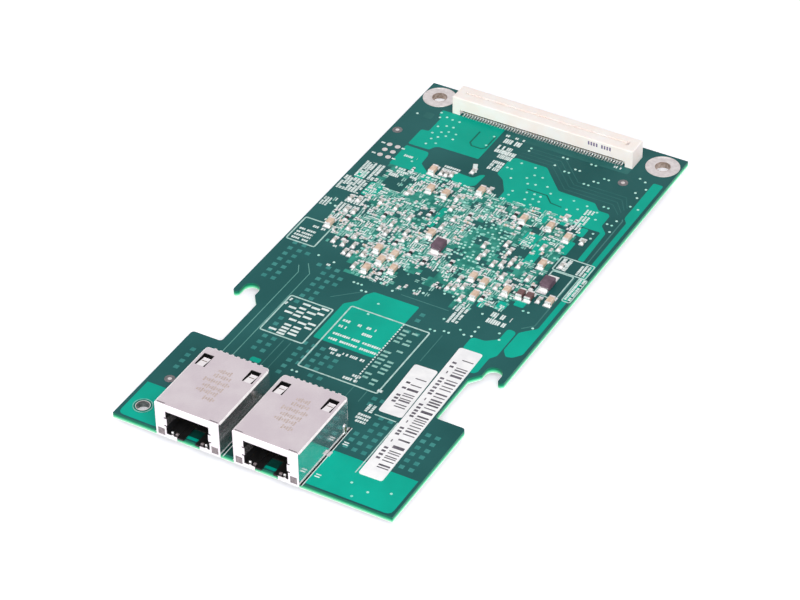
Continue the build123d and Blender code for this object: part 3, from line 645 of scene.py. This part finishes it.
for v in (15.4, 4.0):
    ticks += [(48.6, v, 1.2, 0.3, 0.0), (48.6, v - 0.7, 1.2, 0.3, 0.0)]


# The crowded field: tiny chip parts, pads, vias and marks between the larger parts

def islands(name):
    """The boxes of a CAD node's separate solids, as middle and size in grid steps."""
    mesh = bmesh.new()
    mesh.from_mesh(nodes[name].data)
    bmesh.ops.remove_doubles(mesh, verts=mesh.verts, dist=1e-6)
    boxes = []
    left = set(mesh.verts)
    while left:
        group = [left.pop()]
        for vert in group:
            for edge in vert.link_edges:
                other = edge.other_vert(vert)
                if other in left:
                    left.remove(other)
                    group.append(other)
        us = [(vert.co.x - board_low.x) / GRID for vert in group]
        vs = [(vert.co.y - board_low.y) / GRID for vert in group]
        boxes.append(((min(us) + max(us)) / 2, (min(vs) + max(vs)) / 2,
                      max(us) - min(us), max(vs) - min(vs)))
    mesh.free()
    return sorted(boxes)


taken = []
solder = []
for kind, *_ in chip_kinds:
    bodies, ends = islands(f"{kind}_bodies"), islands(f"{kind}_terminals")
    taken += bodies + ends
    reach = 0.7 if kind == "moulded_capacitor" else 0.3
    for u, v, wide, long in ends:
        nearest = min(bodies, key=lambda body: math.hypot(u - body[0], v - body[1]))
        solder.append((u, v + math.copysign(reach, v - nearest[1]), wide + 0.4, long + 0.3 + reach, 0.0))
repeat("chip_solder", tiles(solder), 0.24, 0.72, end_finish, "chip_terminal")


def free(u, v, margin):
    """Whether a place is a margin away from every larger chip."""
    return all(abs(u - a) > wide / 2 + margin or abs(v - b) > long / 2 + margin
               for a, b, wide, long in taken)


# How full the field is, from 0 to 1, in boxes of left, right, foot and head. The first box round a place
# counts
FAR = 200
VIA_BED = (36, 45, 80, 97)  # holds vias alone
fills = (
    (9, 15, 97, 103, 0.08), (0, 7.6, 91.6, FAR, 0.0), (0, 8.4, 0, 79.2, 0.0), (8, 10, 82.4, 84.6, 0.0),
    (4.4, 10, 84.8, 91.8, 0.0), (0, 4.5, 0, FAR, 0.06), (*VIA_BED, 0.5), (45, 56, 82, 92, 0.3),
    (22, 29, 88, 97, 0.3), (45, 56, 82, 101, 0.5), (0, 17, 0, 76, 0.18), (0, 23, 0, 73, 0.42),
    (40, 50, 70, 76, 0.42), (45, 50, 0, 71, 0.42), (15, 28, 96, FAR, 0.65), (38, 48, 76, 79, 0.65),
    (30, 56, 101, FAR, 0.65), (56, FAR, 74, FAR, 0.25), (56, FAR, 0, FAR, 0.0), (0, 15, 99, FAR, 0.3),
    (30, FAR, 0, 70, 0.12), (31, 41, 0, 75, 0.22), (0, FAR, 0, FAR, 0.9),
)


def inside(u, v, left, right, foot, head):
    return left < u < right and foot < v < head


def density(u, v):
    """How full a cell of the crowded field is. Its near left corner is cut off at a slant."""
    if 8.4 <= u < 19 and v < 78.7 - 0.54 * u:
        return 0.03
    return next(fill for *box, fill in fills if inside(u, v, *box))


CELL_WIDE, CELL_LONG = 1.12, 1.1
CELL_COLUMNS, CELL_ROWS = 50, 38
FIELD_LEFT, FIELD_FOOT = 3.2, 65.8
# What a cell holds, as the upper end of its share of the draws. The rest hold a few printed marks
VIA_END, LINES_END, PADS_END, CHIP_END = 0.14, 0.58, 0.66, 0.9

tiny_bodies = {"tan": [], "grey": [], "black": []}
tiny_ends = []
pads = []
copper = []
mint = []
for row in range(CELL_ROWS):
    for column in range(CELL_COLUMNS):
        left = FIELD_LEFT + column * CELL_WIDE
        foot = FIELD_FOOT + row * CELL_LONG
        u = left + chance.uniform(-0.2, 0.2)
        v = foot + chance.uniform(-0.15, 0.15)
        fill = density(u, v)
        if fill > 0.2 and noise.noise(Vector((u * 0.3, v * 0.3, 0.5))) > -0.12:
            copper.append((left, foot, CELL_WIDE, CELL_LONG, 0.0))
        if chance.random() < 0.4 * fill and free(u + CELL_WIDE / 2, v, 0.2):
            mint.append((left + CELL_WIDE / 2, foot, chance.uniform(0.4, 0.9), chance.uniform(0.5, 1.05), 0.0))
        if chance.random() > fill or not free(u, v, 0.4):
            continue
        turn = math.pi / 2 if chance.random() < 0.58 else 0.0
        ahead, aside = math.cos(turn), math.sin(turn)
        draw = chance.random()
        if inside(u, v, *VIA_BED):
            vias.append((u, v, 0.6, 0.6, 0.0))
        elif draw < VIA_END:
            vias.append((u, v, 0.68, 0.68, 0.0))
        elif draw < LINES_END:
            for shift in (-0.27, 0.27):
                chance.choice((ticks, pale_ticks, pale_ticks)).append(
                    (u - shift * aside, v + shift * ahead, chance.uniform(0.7, 1.7),
                     chance.uniform(0.24, 0.36), turn))
        elif draw < PADS_END:
            pads += [(u + side * ahead, v + side * aside, 0.5, 0.7, turn) for side in (-0.34, 0.34)]
        elif draw < CHIP_END:
            body = chance.choice(("tan", "grey", "grey", "grey", "grey", "grey", "grey", "black"))
            tiny_bodies[body].append((u, v, 0.5, 0.5, turn))
            pale_ticks.append((u - 0.5 * aside, v + 0.5 * ahead, 1.3, 0.2, turn))
            tiny_ends += [(u + side * ahead, v + side * aside, 0.4, 0.6, turn) for side in (-0.38, 0.38)]
        else:
            ticks_along((u - 0.5, v), (u + 0.5, v), 0.7)

for name, marks, height, rim, finish, *rest in (
    ("crowded_copper", copper, 0.008, 1.0, crowded_finish, "green_board"),
    ("coated_pads", mint, 0.02, 0.85, pad_resist_finish, "green_board"),
    ("tiny_tan_chips", tiny_bodies["tan"], 0.36, 0.9, tan_finish, "tan_ceramic"),
    ("tiny_grey_chips", tiny_bodies["grey"], 0.36, 0.9, grey_finish, "grey_ceramic"),
    ("tiny_black_chips", tiny_bodies["black"], 0.28, 0.9, glaze_finish, "black_glaze"),
    ("tiny_chip_ends", tiny_ends, 0.34, 0.85, end_finish, "chip_terminal"),
    ("solder_pads", pads, 0.06, 0.8, end_finish, "chip_terminal"),
    ("plugged_vias", vias, 0.045, 0.7, via_finish, "green_board", bead_tree),
    ("printed_marks", ticks, 0.05, 0.92, ink_finish),
    ("thin_printed_marks", pale_ticks, 0.04, 0.92, haze_finish),
):
    repeat(name, tiles(marks), height, rim, finish, *rest)

# Test points and alignment dots: tinned, each in a bare ring of laminate
points = [(u, v, 1.4, 1.4, 0.0) for u in (3.3, 5.5) for v in (112.6, 110.3, 108)]
dots = ((4.6, 15.1), (1.96, 118.7), (58.7, 125.2))
points += [(u, v, 0.95, 0.95, 0.0) for u, v in dots]
repeat("test_points", tiles(points), 0.05, 0.85, tin_finish, "tinned_copper", bead_tree)
bare = [(u, v, 2.5, 2.5, 0.0) for u, v in dots]
repeat("bare_laminate_rings", tiles(bare), 0.03, 0.97, laminate_finish, "green_board", bead_tree)

# Fixing holes: a tinned barrel lines each one, solder stands up at the rims of the rear lands, and a
# band of resist crosses the front ring

TURN_STEPS = 48


def turned(mesh, x, y, profile):
    """Turns a closed profile of radius and height, in mm, about an upright line."""
    turns = [2 * math.pi * step / TURN_STEPS for step in range(TURN_STEPS)]
    loops = [[mesh.verts.new((MM * (x + reach * math.cos(turn)), MM * (y + reach * math.sin(turn)), MM * z))
              for turn in turns] for reach, z in profile]
    for index, loop in enumerate(loops):
        beside = loops[index - 1]
        for step in range(TURN_STEPS):
            mesh.faces.new((loop[step - 1], loop[step], beside[step], beside[step - 1]))


land_foot, land_top = (corner.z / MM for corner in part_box("mounting_lands"))
rear_holes = ((-33.5, 73.6), (33.5, 73.6))
front_hole = ((-33.3, -72.5),)
for name, holes, inner, outer, foot, rise, finish, slot in (
    ("hole_barrels", rear_holes, 1.99, 2.08, land_foot, 0.02, barrel_finish, "tinned_copper"),
    ("land_rims", rear_holes, 4.25, 4.55, land_top - 0.02, 0.03, tin_finish, "tinned_copper"),
    ("front_hole_wall", front_hole, 1.65, 2.03, land_foot, 0.0, drilled_finish, "tinned_copper"),
    ("front_hole_rim", front_hole, 1.67, 1.86, land_top - 0.05, 0.03, tin_finish, "tinned_copper"),
    ("front_ring_band", front_hole, 1.86, 2.26, land_top - 0.05, 0.03, gap_finish, "green_board"),
    ("front_ring_edge", front_hole, 2.26, 2.52, land_top - 0.05, 0.03, pad_resist_finish, "green_board"),
):
    head = land_top + rise
    mesh = bmesh.new()
    for x, y in holes:
        turned(mesh, x, y, ((inner, foot), (inner, head), (outer, head), (outer, foot)))
    bmesh.ops.recalc_face_normals(mesh, faces=mesh.faces)
    keep(name, mesh, finish)

# Label print: plain bars in place of lettering
label_bars = []


def bars_along(middle, label, width, rows):
    """Bars across a leaning label: for each thickness, heights up the board."""
    foot, lean = label
    for thick, heights in rows.items():
        for v in heights:
            label_bars.append((middle - math.tan(lean) * (v - foot), v, width, thick, lean))


# Each label's foot and lean
long_label = (31.3, math.radians(1.36))
short_label = (36.2, math.radians(2.0))
bars_along(58.75, long_label, 2.7, {
    0.3: (50.6, 47.8, 46, 43.2, 41, 40, 37.2, 33, 29, 28.3, 27.5, 26.5, 25.5, 23.5, 17.5, 16.8, 15.8, 15.2,
          14.3, 12.0),
    0.45: (47,), 0.5: (42.2, 38.3, 36.0, 35.1, 34.2, 29.9, 24.6, 21.5, 12.8), 0.7: (45,), 0.8: (31.6,),
    0.9: (19,)})
bars_along(52.5, short_label, 2.6, {
    0.3: (40.5, 38.2, 35, 34.3, 33.3, 31.3, 30.5), 0.5: (32.6,), 0.7: (36.6,)})
bars_along(56.3, long_label, 0.95, {
    0.6: (49, 47.6, 43.2, 42.1, 41, 39.8, 38.6, 37.6, 33.5, 32.4, 31.3, 30.3, 29.3, 25, 23.9, 22.9, 18, 16.9,
          15.7, 14.5)})
bars_along(56.3, long_label, 0.25, {0.8: (45.5, 35.5, 27.3, 20.5)})
bars_along(50.4, short_label, 0.95, {0.6: (38.5, 36.6, 34, 32.9, 31.8)})
label_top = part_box("long_label")[1].z - deck
repeat("label_bars", tiles(label_bars, label_top), 0.015, 0.95, print_finish)

# Jack details: small blocks, noted by kind and then made a piece each. All in mm

BAR_PITCH = 0.66
TOOTH_COUNT, TOOTH_PITCH = 9, 1.6
# A fold's painted highlight strip: how far it reaches out, in, down and up from the shell's corner
FOLD_OUT, FOLD_IN, FOLD_DOWN, FOLD_UP = 0.16, 0.225, 0.38, 0.005
base = deck / MM
gap_middle = at(29.3, 0).x / MM
jack_blocks = {}


def block(kind, x, y, z, length, width):
    """Notes a block: the middle of its foot, and its size."""
    jack_blocks.setdefault(kind, []).append((Vector((x, y, z)) * MM, length * MM, width * MM, 0.0))


fold_highlight_mesh = bmesh.new()
for side in ("left", "right"):
    low, high = (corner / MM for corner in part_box(f"{side}_jack_shield"))
    middle, along, _ = (low + high) / 2
    wide, deep, _ = high - low
    top = high.z
    # Rows of pale bars on the top: how far back, and where they start and end
    for share, first, last in ((0.72, 0.41, 0.62), (0.64, 0.4, 0.67), (0.55, 0.32, 0.72), (0.46, 0.37, 0.69),
                               (0.38, 0.34, 0.67), (0.29, 0.52, 0.7)):
        count = round((last - first) * wide / BAR_PITCH)
        for index in range(count):
            x = low.x + wide * (first + (last - first) * (index + 0.5) / count)
            block("top_bars", x, low.y + share * deep, top, 0.42, 0.75 + 0.4 * ((index + count) % 3))
    for index in range(TOOTH_COUNT):
        across = (index - (TOOTH_COUNT - 1) / 2) * TOOTH_PITCH
        block("rear_teeth", middle + across, high.y - 0.28, top - 0.21, 0.75, 0.8)
    # Painted shade: a black tile on the board deep in each jack's slot
    block("slot_floors", middle, low.y + 9.2, base, 6.4, 8.0)
    for hand in (-1, 1):
        wall = middle + hand * wide / 2
        clip = low.y + 0.9 * deep
        block("seams", wall - hand * 1.6, low.y + 0.5, top, 2.2, 0.2)
        block("tongue_creases", middle + hand * 6.6, high.y - 4.8, top - 0.37, 1.5, 0.2)
        # Along the foot of a wall: a printed line and, outside the gap between the jacks, a black strip of
        # painted shadow, a bright strip of painted highlight and a bright pad beside the wall
        block("foot_lines", wall + hand * 0.45, along + 0.3, base, 0.2, deep)
        if abs(wall - gap_middle) > 4:
            # Painted shadow: a black strip along the wall's foot
            block("foot_lips", wall + hand * 0.08, along + 0.3, base, 0.46, deep)
            # Painted highlight: a bright strip along the wall's foot; the second block is a bright pad beside
            # the wall
            block("foot_hems", wall + hand * 0.04, along, base + 0.42, 0.1, deep - 0.4)
            block("foot_hems", wall + hand * 0.45, low.y + 0.56 * deep, base, 0.9, 1.7)
        block("side_clips", wall + hand * 0.1, clip, base + 0.3, 0.3, 0.9)
        block("clip_catches", wall + hand * 0.2, clip, base + 0.9, 0.2, 0.35)
        block("floor_tabs", middle + hand * 4.7, low.y + 0.7, base + 0.25, 0.6, 0.4)
        block("floor_knobs", middle + hand * 3.5, low.y + 0.8, base + 0.25, 0.7, 0.6)
        # The fold along the top edge, drawn as a narrow strip of painted highlight
        section = ((wall + hand * FOLD_OUT, top - FOLD_DOWN), (wall - hand * FOLD_IN, top + FOLD_UP),
                   (wall - hand * FOLD_IN, top - FOLD_DOWN))
        ends = [[fold_highlight_mesh.verts.new(Vector((x, y, z)) * MM) for x, z in section]
                for y in (low.y + 0.5, high.y - 1.2)]
        for index in range(3):
            fold_highlight_mesh.faces.new((ends[0][index - 1], ends[0][index], ends[1][index], ends[1][index - 1]))
        for end in ends:
            fold_highlight_mesh.faces.new(end)
for kind, height, rim, finish, slot in (
    ("foot_lips", 0.1, 0.95, black_finish, "black_moulding"),
    ("foot_hems", 0.2, 0.75, end_finish, "plated_shell"),
    ("foot_lines", 0.05, 0.95, ink_finish, None),
    ("side_clips", 2.3, 0.6, end_finish, "plated_shell"),
    ("clip_catches", 1.1, 0.6, gold_finish, "gold_plating"),
    ("floor_tabs", 1.1, 0.7, end_finish, "plated_shell"),
    ("floor_knobs", 0.9, 0.6, window_finish, "black_moulding"),
    ("slot_floors", 0.25, 0.98, black_finish, "black_moulding"),
    ("top_bars", 0.006, 0.95, stain_finish, "plated_shell"),
    ("seams", 0.006, 0.95, black_finish, "black_moulding"),
    ("tongue_creases", 0.06, 0.9, bronze_and_shade_finish, "plated_shell"),
    ("rear_teeth", 0.18, 0.7, shell_finish, "plated_shell"),
):
    repeat(f"jack_{kind}", jack_blocks[kind], height, rim, finish, slot)
# Painted highlight along the top folds
bmesh.ops.recalc_face_normals(fold_highlight_mesh, faces=fold_highlight_mesh.faces)
keep("jack_top_folds", fold_highlight_mesh, fold_highlight_finish)

# Connector details: beams and tongue in its slot, dark strips of painted shade and solder at its tails, a plain
# stamp
TAIL_PITCH = 0.8 * MM
BEAM_COUNT = 60
SLOT_FLOOR = 4.1 * MM
STAMP_COUNT, STAMP_START, STAMP_PITCH = 9, 14.0 * MM, 0.78 * MM
low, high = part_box("mezzanine_housing")
middle = (low + high) / 2
beams = []
for index in range(BEAM_COUNT):
    x = middle.x + (index - (BEAM_COUNT - 1) / 2) * TAIL_PITCH
    for y in (middle.y - 0.25 * MM, middle.y + 0.25 * MM):
        beams.append((Vector((x, y, high.z - SLOT_FLOOR)), 0.35 * MM, 0.2 * MM, 0.0))
repeat("connector_beams", beams, 2.0, 0.8, gold_finish, "gold_plating")
feet = islands("mezzanine_front_contacts")
tails = [(u, v - long / 2 + 0.35, wide + 0.08, 0.75, 0.0) for u, v, wide, long in feet]
# Painted shade: a dark strip for each tail, standing for the shadow at the top of the recess under the housing
shade_shoulders = [(Vector((at(u, v).x, low.y + 0.3 * MM, deck + 1.22 * MM)), 0.66 * MM, 0.16 * MM, 0.0)
             for u, v, _, _ in feet]
repeat("tail_shade_strips", shade_shoulders, 0.4, 0.9, bronze_and_shade_finish, "tinned_copper")
repeat("tail_solder", tiles(tails), 0.2, 0.8, end_finish, "tinned_copper")
stamp = bmesh.new()
stamp_size = Matrix.Diagonal((0.45 * MM, 0.02 * MM, 1.1 * MM, 1.0))
for index in range(STAMP_COUNT):
    if index != STAMP_COUNT // 2:
        spot = Vector((STAMP_START + index * STAMP_PITCH, low.y, deck + 4.1 * MM))
        bmesh.ops.create_cube(stamp, size=1.0, matrix=Matrix.Translation(spot) @ stamp_size)
keep("connector_stamp", stamp, stamp_finish)
tongue = [(Vector((middle.x, middle.y, high.z - SLOT_FLOOR)), 48.6 * MM, 0.5 * MM, 0.0)]
repeat("connector_tongue", tongue, 3.3, 0.98, cream_finish, "cream_moulding")


# Stage: a white floor, a soft world, two lamps and the camera

FLOOR_REACH = 6
FLOOR_LIFT = 0.41
floor_mesh = bpy.data.meshes.new("floor")
floor_mesh.from_pydata([(x * FLOOR_REACH, y * FLOOR_REACH, 0) for x, y in ((-1, -1), (1, -1), (1, 1), (-1, 1))],
                       [], [(0, 1, 2, 3)])
floor = bpy.data.objects.new("floor", floor_mesh)
floor.location.z = cad_box[0].z
scene.collection.objects.link(floor)
# White paper sweep: matt, and lifted to clean white where the lens or a mirror sees it
paper = bpy.data.materials.new("white_paper_sweep")
paper.use_nodes = True
tree = paper.node_tree
tree.nodes.clear()
path = add(tree, "ShaderNodeLightPath")
seen = add(tree, "ShaderNodeMath", {"operation": "MAXIMUM"},
           links={0: path.outputs["Is Camera Ray"], 1: path.outputs["Is Glossy Ray"]})
seen = add(tree, "ShaderNodeMath", {"operation": "MAXIMUM"},
           links={0: seen.outputs[0], 1: path.outputs["Is Transmission Ray"]})
lift = add(tree, "ShaderNodeMath", {"operation": "MULTIPLY"}, {1: FLOOR_LIFT}, {0: seen.outputs[0]})
matt = add(tree, "ShaderNodeBsdfDiffuse", values={"Color": linear("#F2EEF6")})
glow = add(tree, "ShaderNodeEmission", values={"Color": (1, 1, 1, 1)}, links={"Strength": lift.outputs[0]})
both = add(tree, "ShaderNodeAddShader", links={0: matt.outputs[0], 1: glow.outputs[0]})
add(tree, "ShaderNodeOutputMaterial", links={"Surface": both.outputs[0]})
floor_mesh.materials.append(paper)

world = bpy.data.worlds.new("studio")
scene.world = world
world.use_nodes = True
tree = world.node_tree
tree.nodes.clear()
path = add(tree, "ShaderNodeLightPath")
place = add(tree, "ShaderNodeTexCoord")
height = add(tree, "ShaderNodeSeparateXYZ", links={0: place.outputs["Generated"]})
ceiling = add(tree, "ShaderNodeValToRGB", links={"Fac": height.outputs["Z"]})
stops(ceiling, (0.42, "#FFFFFF"), (0.58, "#DED6DB"))
white = add(tree, "ShaderNodeMix", {"data_type": "RGBA"}, {7: (1, 1, 1, 1)},
            {0: path.outputs["Is Camera Ray"], 6: ceiling.outputs["Color"]})
sky = add(tree, "ShaderNodeBackground", values={"Strength": 1.0}, links={"Color": white.outputs[2]})
falloff = add(tree, "ShaderNodeMapRange", values={"To Min": 0.72, "To Max": 0.4},
              links={"Value": height.outputs["Z"]})
soft = add(tree, "ShaderNodeBackground", values={"Color": (1, 1, 1, 1)},
           links={"Strength": falloff.outputs["Result"]})
plain = add(tree, "ShaderNodeMixShader",
            links={0: path.outputs["Is Diffuse Ray"], 1: sky.outputs[0], 2: soft.outputs[0]})
add(tree, "ShaderNodeOutputWorld", links={"Surface": plain.outputs[0]})

LAMP_SIZE = 0.8
centre = (cad_box[0] + cad_box[1]) / 2
for name, offset, power in (("key", (0.5, -0.65, 0.65), 8.0), ("fill", (-0.35, -0.9, 0.35), 2.4)):
    lamp = bpy.data.lights.new(name, "AREA")
    lamp.size = LAMP_SIZE
    lamp.energy = power
    holder = bpy.data.objects.new(name, lamp)
    holder.location = centre + Vector(offset)
    holder.rotation_euler = (centre - holder.location).to_track_quat("-Z", "Y").to_euler()
    scene.collection.objects.link(holder)

camera = bpy.data.cameras.new("camera")
camera.lens = 135.4
camera.sensor_width = 36
camera.clip_end = 20
eye = bpy.data.objects.new("camera", camera)
# The photograph's view: the lens's place from the board's front left corner, and where it looks
eye.location = at(0, 0) + Vector((333.9, -434.4, 466.9)) * MM
azimuth, elevation, roll = (math.radians(angle) for angle in (30.33, 38.63, -1.093))
gaze = Vector((-math.sin(azimuth) * math.cos(elevation), math.cos(azimuth) * math.cos(elevation),
               -math.sin(elevation)))
eye.rotation_mode = "QUATERNION"
eye.rotation_quaternion = gaze.to_track_quat("-Z", "Y") @ Quaternion((0, 0, 1), roll)
scene.collection.objects.link(eye)
scene.camera = eye
scene.view_settings.view_transform = "Standard"
